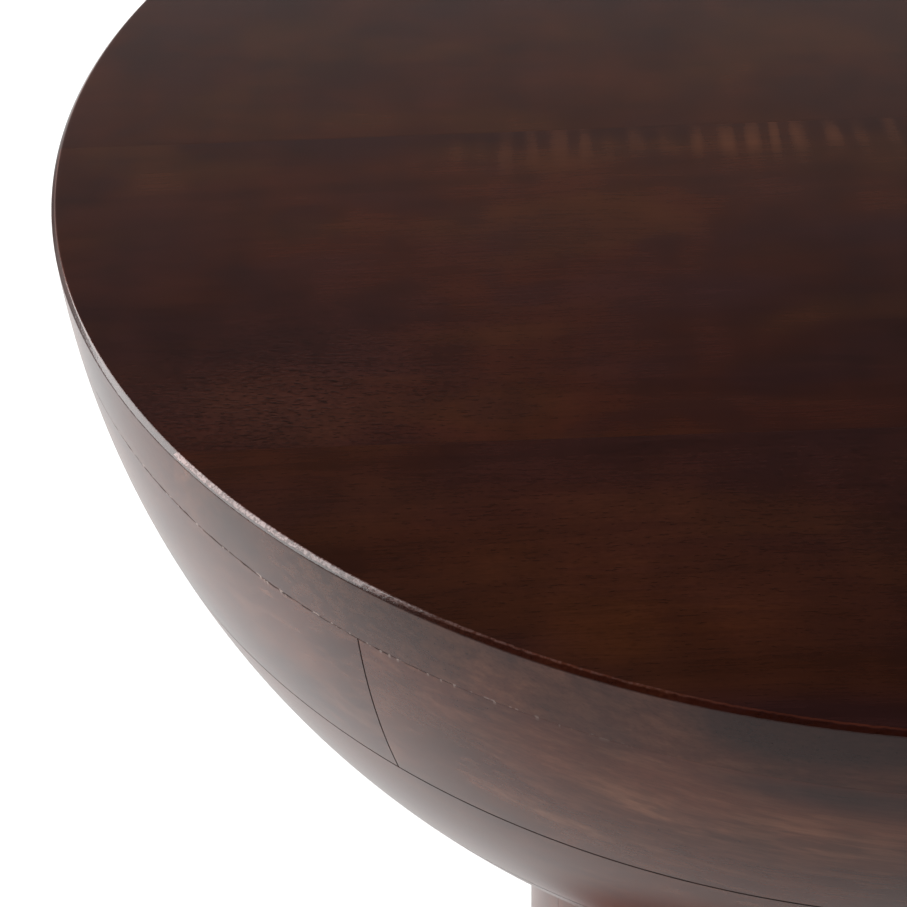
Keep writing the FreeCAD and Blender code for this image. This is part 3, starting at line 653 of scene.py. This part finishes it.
def new_material(name):
    """An empty material that uses nodes."""
    material = bpy.data.materials.new(name)
    material.use_nodes = True
    material.node_tree.nodes.clear()
    return material, material.node_tree


def linear(hex_colour):
    """A colour written as on a screen, turned into linear light with opaque alpha."""
    parts = [int(hex_colour[i:i + 2], 16) / 255 for i in (1, 3, 5)]
    return tuple(c / 12.92 if c <= 0.04045 else ((c + 0.055) / 1.055) ** 2.4 for c in parts) + (1.0,)


# %% [markdown]
# ## Stained hardwood
# The real surface is an open-pored hardwood that was turned, stained dark brown and sprayed with
# satin lacquer. To the eye that is a deep brown with lighter streaks, short dark pores along the
# grain, and a soft mirror where it is seen at a flat angle. A picture of wood wrapped round a
# sphere would stretch and show where it joins. So the figure is worked out in the log, in metres,
# and every piece cuts its own slice of it.

# %% Patterns of the timber
# name: (worked out from, patches for each metre along and square to the grain, detail, roughness),
# with the size of a patch in millimetres beside it
PATTERNS = {
    "clouds": ("log", (8, 24, 24), 2.0, 0.5),                # 125 by 42, uneven depth of stain
    "patches": ("log", (18, 90, 90), 2.0, 0.5),              # 56 by 11, uneven depth of stain
    "blushes": ("log", (16, 30, 30), 1.0, 0.5),              # 62 by 33, bluish and pale areas
    "smudges": ("log", (70, 28, 28), 1.0, 0.5),              # 14 by 36, where the stain was wiped
    "mottle": ("log", (48, 52, 52), 2.0, 0.5),               # 21 by 19, soft spots on the top
    "streaks": ("grain", (9, 230, 230), 3.0, 0.5),           # 111 by 4.3, pale streaks
    "flecks": ("grain", (75, 420, 420), 2.0, 0.5),           # 13 by 2.4, warm flecks
    "fibres": ("grain", (45, 1500, 1500), 2.0, 0.6),         # 22 by 0.7, drawn coarse to show
    "pore_noise": ("grain", (360, 1700, 1700), 1.0, 0.6),    # 2.8 by 0.6, pores
    # leather also sets painted light and shade on the bumps of the open grain
    "leather": ("grain", (520, 1250, 1250), 2.0, 0.5),       # 1.9 by 0.8, open grain
    "bar_shift": ("log", (60, 9, 9), 1.0, 0.5),              # 17 by 111, uneven bars of the curl
    "rim_border": ("log", (500, 500, 500), 1.0, 0.5),        # 2, ragged border of the bevel
    "rubbing": ("log", (18, 18, 18), 1.0, 0.5),              # 56, where the rim is worn
    # grit also speckles the painted highlight and the painted shade on the bevel
    "grit": ("log", (1150, 1150, 1150), 2.0, 0.6),           # 0.9, sanding marks on the bevel
    "dashes": ("log", (260, 20, 20), 1.0, 0.5),              # 3.8 by 50, gaps in the faint line
    # specks: lacquer dust and painted glints in the faint glue line
    "specks": ("log", (900, 30, 30), 0.0, 0.5),              # 1.1 by 33, lacquer dust in that line
}
WANDER = (((5, 14, 14), 0.018), ((18, 80, 80), 0.002))       # patches, and reach in metres
TAPER = 0.035                                                # of the growth rings along the log
RINGS_A_METRE = 130.0                                        # a growth ring every 7.7 mm
CURL_STEP = 0.0080                                           # metres from bar to bar
MARK_LIMIT = 0.85                                            # no mark hides the wood altogether


def read_timber(t):
    """Everything that the colour is worked out from, under its name. The grain is the place in the
    log moved sideways by reach times (noise less a half). A growth ring's place is the distance
    from the heart less a small share of the length, because a tree tapers."""
    wood = SimpleNamespace(log=add(t, "stored", out=1, attribute_name="log"))
    for name in ("tone", "seam", "faint_seam", "edge", *MARKS):
        setattr(wood, name, add(t, "stored", attribute_name=name))
    wood.grain = wood.log
    for patches, reach in WANDER:
        push = add(t, "noise", add(t, "stretch", wood.log, patches), 1.0, 2.0, out=1)
        push = add(t, "stretch", add(t, "move_back", push, (0.5, 0.5, 0.5)), (0, reach, reach))
        wood.grain = add(t, "move", wood.grain, push)
    for name, (place, patches, detail, roughness) in PATTERNS.items():
        setattr(wood, name, add(t, "noise", add(t, "stretch", getattr(wood, place), patches), 1.0,
                                detail, roughness))
    wood.along = add(t, "split", wood.grain)
    _, across, outward = wood.along.node.outputs
    from_heart = add(t, "length", add(t, "join", across, outward))
    ring_place = add(t, "minus", from_heart, add(t, "times", wood.along, TAPER))
    rings = add(t, "line_noise", ring_place, RINGS_A_METRE, 3.0, 0.55)
    wood.ring_dark = add(t, "ramp", rings, 0.45, 0.72)
    wood.pores = add(t, "ramp", wood.pore_noise, 0.58, 0.70)
    wood.side = add(t, "ramp", wood.edge, 0.93, 1.0)
    wood.on_top = add(t, "minus", 1.0, wood.side)
    return wood


# %% [markdown]
# ## Colour of the stain
# Stain sinks in unevenly: deeper in soft wood, paler in hard streaks. That is a row of mixes, each
# one laid over the last. The bars of the curl are a sine wave along the grain whose phase wanders,
# so no two bars are alike.

# %% Stain
# third: painted highlight on the bevel; fourth: painted shade below it; last: dust and painted glints
CURL_LIGHT, WORN_EDGE, PAINTED_HIGHLIGHT_COLOUR, DARK_EDGE, MAUVE, DUST_AND_GLINT_COLOUR = (
    linear(c) for c in ("#54301f", "#582b1e", "#a68d8a", "#2c1009", "#331b16", "#b9a8a0"))


def curl_bars(t, wood):
    """Light bars across the grain: a sine of the place along the grain over CURL_STEP, with a
    phase that wanders by up to eight radians, faded in smudges, where a curl mark lies."""
    phase = add(t, "times_plus", wood.bar_shift, 8.0,
                add(t, "times", wood.along, 2 * math.pi / CURL_STEP))
    bars = add(t, "times", add(t, "ramp", add(t, "sine", phase), -0.8, 1.0),
               add(t, "ramp", wood.smudges, 0.36, 0.6, 0.15, 1.0))
    return add(t, "times", wood.curl, bars)


def stain_colour(t, wood, shades):
    """Colour of the stained wood. shades are dark, middle, light, warm and bluish. The depth of
    the stain is 0.3 of the patches plus 0.7 of the clouds, moved by the piece's own tone."""
    dark, middle, light, warm, bluish = shades
    uneven = add(t, "times_plus", wood.patches, 0.3, add(t, "times", wood.clouds, 0.7))
    depth = add(t, "plus", uneven, add(t, "minus", wood.tone, 0.5))
    streakiness = add(t, "times_plus", wood.side, 0.45, add(t, "times_plus", wood.relief, 0.3, 0.1))
    paleness = add(t, "times_plus", wood.side, -0.4, 0.5)
    least_warm = add(t, "times_plus", wood.side, -0.5, 0.8)
    warmth = add(t, "times", wood.warm, add(t, "ramp", wood.flecks, 0.35, 0.6, least_warm, 1.0))
    blueness = add(t, "times", wood.dark, add(t, "ramp", wood.patches, 0.25, 0.6, 0.75, 1.0))
    fleck_share, mottle_share = add(t, "times", wood.side, 0.22), add(t, "times", wood.on_top, 0.3)
    colour = add(t, "mix", add(t, "ramp", depth, 0.36, 0.62), dark, middle)
    for share, towards in (
            (add(t, "times", add(t, "ramp", wood.streaks, 0.46, 0.72), streakiness), light),
            (add(t, "times", add(t, "ramp", wood.blushes, 0.50, 0.66), 0.4), bluish),
            (add(t, "times", add(t, "ramp", wood.blushes, 0.48, 0.34), paleness), light),
            (add(t, "times", add(t, "ramp", wood.flecks, 0.50, 0.70), fleck_share), warm),
            (add(t, "times", add(t, "ramp", wood.mottle, 0.48, 0.66), mottle_share), bluish),
            (add(t, "times", wood.relief, 0.6), MAUVE),
            (add(t, "smaller", warmth, MARK_LIMIT), warm),
            (add(t, "smaller", blueness, MARK_LIMIT), bluish),
            (add(t, "smaller", curl_bars(t, wood), MARK_LIMIT), CURL_LIGHT)):
        colour = add(t, "mix", share, colour, towards)
    return colour


# %% [markdown]
# ## The rim and the glue lines
# Hands and cloths rub the lacquer off a rim, so the upper part of the bevel is worn to red-brown.
# A painted highlight makes it pale and speckled at the left, and the lower part is painted dark as
# shade. A glue line shows as a dark thread, and the faint one under the top also holds bright
# specks, partly lacquer dust and partly painted glints. Both could be thin pieces of their own, but
# they have no thickness on the real table, so they are colour.

# %% Rim and glue lines


def worn_rim(t, wood, colour):
    """Colour the bevel, from 0 at the upper face to 1 at the side, with a ragged border: worn
    red-brown above, a painted highlight where its mark lies, and painted shade on the lower part.
    band is where the worn part ends. Returns the colour, and where the bevel is."""
    reach = add(t, "times", add(t, "ramp", wood.edge, 0.0, 0.1),
                add(t, "ramp", wood.edge, 1.0, 0.9, 0.0, 0.3))
    edge = add(t, "times_plus", add(t, "minus", wood.rim_border, 0.5), reach, wood.edge)
    past_face = add(t, "ramp", edge, 0.02, 0.1)
    on_bevel = add(t, "times", past_face, add(t, "ramp", edge, 0.98, 0.9))
    band = add(t, "ramp", wood.pale_edge, 0.12, 0.4, 0.34, 0.7)
    upper = add(t, "times", past_face, add(t, "ramp", edge, band, add(t, "minus", band, 0.14)))
    worn = add(t, "times", upper, add(t, "ramp", wood.rubbing, 0.35, 0.65, 0.15, 0.9))
    # painted highlight: pale, speckled by grit, on the upper part of the bevel
    pale = add(t, "times", add(t, "times", wood.pale_edge, upper),
               add(t, "ramp", wood.grit, 0.40, 0.60, 0.15, 1.0))
    # painted shade: the lower part of the bevel darkened, speckled by grit
    below_band = add(t, "ramp", edge, add(t, "minus", band, 0.06), add(t, "plus", band, 0.06))
    stained = add(t, "times", add(t, "times", below_band, add(t, "ramp", edge, 1.0, 0.9)),
                  add(t, "ramp", wood.grit, 0.42, 0.62, 0.95, 0.5))
    for share, towards in ((add(t, "times", worn, 0.7), WORN_EDGE),
                           (add(t, "smaller", pale, 0.9), PAINTED_HIGHLIGHT_COLOUR), (stained, DARK_EDGE)):
        colour = add(t, "mix", share, colour, towards)
    return colour, on_bevel


def glue_lines(t, wood):
    """Where a glue line is dark, and where bright specks lie in the faint one, which is broken by
    dashes. The specks are partly grains of lacquer and partly painted glints.
    """
    faint = add(t, "times", add(t, "ramp", wood.faint_seam, 0.2, 0.6),
                add(t, "ramp", wood.dashes, 0.40, 0.56, 0.15, 1.0))
    line = add(t, "larger", add(t, "ramp", wood.seam, 0.12, 0.5), add(t, "times", faint, 0.8))
    return line, add(t, "times", wood.faint_seam, add(t, "ramp", wood.specks, 0.62, 0.70))


def light_and_dark(t, wood, line):
    """How light the wood is: the product of its growth rings, fibres, smudges, pores, glue lines,
    stain marks and mottling, and painted light and shade on the bumps of the open grain, each a
    factor near 1."""
    level = add(t, "times_plus", wood.ring_dark, -0.12, 1.04)
    pore_depth = add(t, "times_plus", wood.relief, -0.4, -0.12)
    for factor in (add(t, "ramp", wood.fibres, 0.2, 0.8, 0.86, 1.14),
                   add(t, "ramp", wood.smudges, 0.3, 0.7, 0.92, 1.08),
                   add(t, "times_plus", wood.pores, pore_depth, 1.0),
                   add(t, "times_plus", line, -0.85, 1.0),
                   add(t, "plus", wood.stain, 1.0),
                   add(t, "times_plus", wood.on_top, add(t, "ramp", wood.mottle, 0.3, 0.68, 0.1, -0.07), 1.0),
                   # painted light and shade: the open grain's bumps made lighter and darker in spots
                   add(t, "times_plus", wood.relief, add(t, "times_plus", wood.leather, 1.3, -0.6), 1.0)):
        level = add(t, "times", level, factor)
    return level


# %% [markdown]
# ## The finished wood
# Satin lacquer fills the grain, so the relief is less than a tenth of a millimetre, and the mirror
# is a little soft. A glue line is rougher than the lacquer beside it. The top's shades are redder
# and darker than the side's; the side's are lighter and greyer as painted sheen, the pale floor
# that the side mirrors. Separate recipes could be made for top, bowl and stem, but the wood is the
# same, so one recipe takes three sets of shades.

# %% Stained hardwood
SATIN, LACQUER_IOR = 0.22, 1.38
TOP_SHADES = [linear(c) for c in ("#29110d", "#34160d", "#3c1f0e", "#44210d", "#2a1515")]
# these shades are lighter and greyer than the top's as painted sheen of the pale floor
SIDE_SHADES = [linear(c) for c in ("#3b1b15", "#50291d", "#603a2b", "#704734", "#2d1b1a")]
STEM_SHADES = [linear(c) for c in ("#38201a", "#4c2a20", "#5a3428", "#653b2c", "#33221f")]


def stained_hardwood(name, shades, side_shades=None):
    """Dark stained hardwood under satin lacquer. side_shades replace the shades below the rim. The
    relief is the open grain and the fibres, less the pores, and the grit on the bevel."""
    material, t = new_material(name)
    wood = read_timber(t)
    if side_shades:
        shades = [add(t, "mix", wood.side, upper, lower) for upper, lower in zip(shades, side_shades)]
    line, dust_and_glints = glue_lines(t, wood)
    colour, on_bevel = worn_rim(t, wood, stain_colour(t, wood, shades))
    colour = add(t, "shade", colour, light_and_dark(t, wood, line))
    # the pale specks: lacquer dust and painted glints
    colour = add(t, "mix", add(t, "smaller", dust_and_glints, 0.8), colour, DUST_AND_GLINT_COLOUR)
    height = add(t, "times_plus", add(t, "times", wood.relief, wood.leather), 1.3,
                 add(t, "times", wood.pores, -0.06))
    height = add(t, "times_plus", wood.fibres, 0.12, height)
    height = add(t, "plus", height, add(t, "times", on_bevel, add(t, "times", wood.grit, 0.6)))
    rough = add(t, "times_plus", on_bevel, -0.1, add(t, "times_plus", line, 0.75, SATIN))
    relief = add(t, "bump", 0.5, 0.00007, height)
    add(t, "surface", add(t, "lacquered", colour, rough, LACQUER_IOR, relief))
    return material


for group, *shades in (("top", TOP_SHADES, SIDE_SHADES), ("bowl", SIDE_SHADES), ("stem", STEM_SHADES)):
    material = stained_hardwood(f"stained_hardwood_{group}", *shades)
    for piece in skins[group]:
        piece.data.materials.append(material)
    print(material.name, len(material.node_tree.nodes), "nodes")

# %% [markdown]
# ## Hidden pieces
# Plates, dowels, bolts and pads keep their solid form, because nobody sees them unless the table
# is taken apart. Each still gets its own stuff: a colour that varies a little along a stretched
# pattern, and a finish that varies with it. One recipe with different numbers is enough.

# %% Materials of the hidden pieces
# nodes, then name, colour, metallic, roughness, spread, and patches for each metre, which is 1000
# over the size of a patch in millimetres
HIDDEN = [
    # layers of pale veneer, seen as stripes on the plate's edge
    (["stem_clamp_plate", "foot_plate"], "birch_plywood", "#b3926b", 0.0, 0.65, 0.18, (30, 400, 2500)),
    # close, pale wood without lacquer, so it looks dry
    (["top_dowels"], "beech_dowel", "#c4a074", 0.0, 0.6, 0.15, (900, 900, 60)),
    # a bluish grey metal with a dull shine
    (["foot_plate_screws", "clamp_bolts", "clamp_washers"], "zinc_plated_steel", "#b9bcc2", 1.0, 0.35,
     0.12, (700, 700, 700)),
    # yellow metal with fine rings from the lathe
    (["threaded_inserts"], "turned_brass", "#c8a256", 1.0, 0.3, 0.1, (300, 300, 3000)),
    # short tangled fibres that reflect nothing
    (["felt_pads"], "pressed_wool_felt", "#2c2825", 0.0, 0.95, 0.3, (1500, 1500, 1500)),
]


def plain_material(name, colour, metallic, roughness, spread, patches):
    """A surface whose colour and roughness vary with a stretched pattern."""
    material, t = new_material(name)
    pattern = add(t, "noise", add(t, "stretch", add(t, "place"), patches), 1.0, 3.0, 0.5)
    value = add(t, "ramp", pattern, 0.3, 0.7, 1 - spread, 1 + spread)
    rough = add(t, "ramp", pattern, 0.3, 0.7, roughness - 0.08, roughness + 0.08)
    relief = add(t, "bump", 0.4, 0.0001, pattern)
    add(t, "surface", add(t, "bare", add(t, "shade", linear(colour)[:3], value), metallic, rough, relief))
    return material


for nodes, *look in HIDDEN:
    material = plain_material(*look)
    for node in nodes:
        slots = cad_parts[node].data.materials
        for index in range(len(slots)):
            slots[index] = material
        if not len(slots):
            slots.append(material)
print("hidden pieces dressed:", sum(len(nodes) for nodes, *_ in HIDDEN))

# %% [markdown]
# ## Floor
# The light is one wide soft lamp at the left and a dim room. The table stands on a pale floor that
# is white to the eye. The bowl mirrors the floor, and there the floor shows a painted glow, brighter
# at the left and behind, and a painted brown shadow beside the stem. A brighter lamp would also
# whiten the floor, but it would bleach the wood, so the floor is lifted only where it is looked at
# straight.

# %% Floor
FLOOR_REACH = 20.0                                    # metres
# the brown is a painted shadow round the stem; the two middles place it and the painted glow
FLOOR_GREY, PAINTED_SHADOW_BROWN = (0.76, 0.76, 0.76, 1.0), (0.24, 0.12, 0.11, 1.0)
PAINTED_GLOW_MIDDLE, PAINTED_SHADOW_MIDDLE = (-0.64, -0.12, 0.0), (-0.05, -0.09, 0.0)    # middles of the bright and brown places
LIFT = 0.35                                           # makes the grey floor white


def pale_floor():
    """A plain pale floor. Looked at straight it is lifted to white. In a mirror it shows a painted glow,
    brighter at the left and behind, and a painted soft brown shadow round the foot of the stem."""
    material, t = new_material("pale_studio_floor")
    rays = add(t, "rays").node.outputs
    straight = add(t, "larger", rays["Is Camera Ray"], rays["Is Transmission Ray"])
    mirrored = rays["Is Glossy Ray"]
    place = add(t, "place")
    # painted light: a glow that only the mirror sees, brighter behind and at the left
    behind = add(t, "ramp", add(t, "split", place, out=1), -0.4, 0.0, 0.0, 0.14)
    from_painted_glow, from_painted_shadow = (add(t, "distance", place, middle) for middle in (PAINTED_GLOW_MIDDLE, PAINTED_SHADOW_MIDDLE))
    painted_glow = add(t, "plus", behind, add(t, "ramp", from_painted_glow, 0.0, 0.42, 0.4, 0.0))
    painted_glow = add(t, "times", painted_glow, add(t, "ramp", from_painted_shadow, 0.09, 0.2))
    strength = add(t, "times_plus", straight, LIFT, add(t, "times", mirrored, painted_glow))
    # painted shadow: brown round the stem, seen only in the mirror
    painted_shadow_share = add(t, "times", mirrored, add(t, "ramp", from_painted_shadow, 0.09, 0.16, 1.0, 0.0))
    matt = add(t, "matt", add(t, "mix", painted_shadow_share, FLOOR_GREY, PAINTED_SHADOW_BROWN))
    add(t, "surface", add(t, "both", matt, add(t, "glow", (1, 1, 1, 1), strength)))
    return material


floor_mesh = bpy.data.meshes.new("floor")
floor_corners = [(x * FLOOR_REACH, y * FLOOR_REACH, 0) for x, y in ((-1, -1), (1, -1), (1, 1), (-1, 1))]
floor_mesh.from_pydata(floor_corners, [], [(0, 1, 2, 3)])
floor = bpy.data.objects.new("floor", floor_mesh)
floor_mesh.materials.append(pale_floor())
bpy.context.scene.collection.objects.link(floor)

# %% [markdown]
# ## Lamp and room
# A polished top mirrors what lies beyond it. The room's walls are pale up to eye level, which
# gives the far part of the top its sheen, and dark above, which keeps the near part deep brown.
# A second lamp would do the same only with a hard edge, so the room itself fades with height.

# %% Lamp and room
AIM = Vector((0, 0, 0.4))
PALE_UP_TO, DARK_FROM = 0.21, 0.63    # sine of the height above the horizon
WALL, ROOF = 1.0, 0.012


def soft_lamp(name, azimuth, elevation, distance, width, height, power):
    """A rectangular lamp that looks at the bowl from a direction."""
    data = bpy.data.lights.new(name, "AREA")
    data.shape, data.size, data.size_y, data.energy = "RECTANGLE", width, height, power
    lamp = bpy.data.objects.new(name, data)
    a, e = math.radians(azimuth), math.radians(elevation)
    away = Vector((math.cos(a) * math.cos(e), math.sin(a) * math.cos(e), math.sin(e)))
    lamp.location = AIM + distance * away
    lamp.rotation_euler = away.to_track_quat("Z", "Y").to_euler()
    lamp.visible_camera = False
    bpy.context.scene.collection.objects.link(lamp)
    return lamp


key = soft_lamp("key_lamp", azimuth=170, elevation=30, distance=2.3, width=2.2, height=1.6, power=92.0)
print("lamp at", [round(v, 2) for v in key.location], "m")

world = bpy.data.worlds.new("dim_room")
bpy.context.scene.world = world
world.use_nodes = True
w = world.node_tree
w.nodes.clear()
upwards = add(w, "split", add(w, "direction"), out=2)
brightness = add(w, "ramp", upwards, PALE_UP_TO, DARK_FROM, WALL, ROOF)
add(w, "room", add(w, "background", (1.0, 0.99, 0.98, 1.0), brightness))

# %% [markdown]
# ## Camera
# The camera looks down from beyond the near rim, a third of a metre above the top. It could be
# placed by eye, but its place, its three turns and its lens come from fitting the rim, the joints
# and the outline of the real table, so that the same part of the table fills the picture.

# %% Camera
camera_data = bpy.data.cameras.new("camera")
camera_data.sensor_width = 36.0
camera_data.lens = 85.03
camera = bpy.data.objects.new("camera", camera_data)
bpy.context.scene.collection.objects.link(camera)
bpy.context.scene.camera = camera


def aim_camera(location, down, left_turn, roll):
    """Place the camera. It looks down by an angle, is turned from +Y by another and rolled."""
    forward = Vector((math.cos(down) * math.sin(left_turn), math.cos(down) * math.cos(left_turn),
                      -math.sin(down)))
    level_right = Vector((math.cos(left_turn), -math.sin(left_turn), 0))
    level_up = level_right.cross(forward)
    right = math.cos(roll) * level_right + math.sin(roll) * level_up
    up = -math.sin(roll) * level_right + math.cos(roll) * level_up
    turn = Matrix((right, up, -forward)).transposed().to_4x4()
    camera.matrix_world = Matrix.Translation(Vector(location)) @ turn


aim_camera(location=(-0.12106, -0.55755, 0.84299), down=0.6928121378,
           left_turn=math.radians(-14.237 + 12.25), roll=-0.0559959)
bpy.context.scene.view_settings.view_transform = "Standard"
print("camera", round(camera.location.z, 3), "m above the floor")
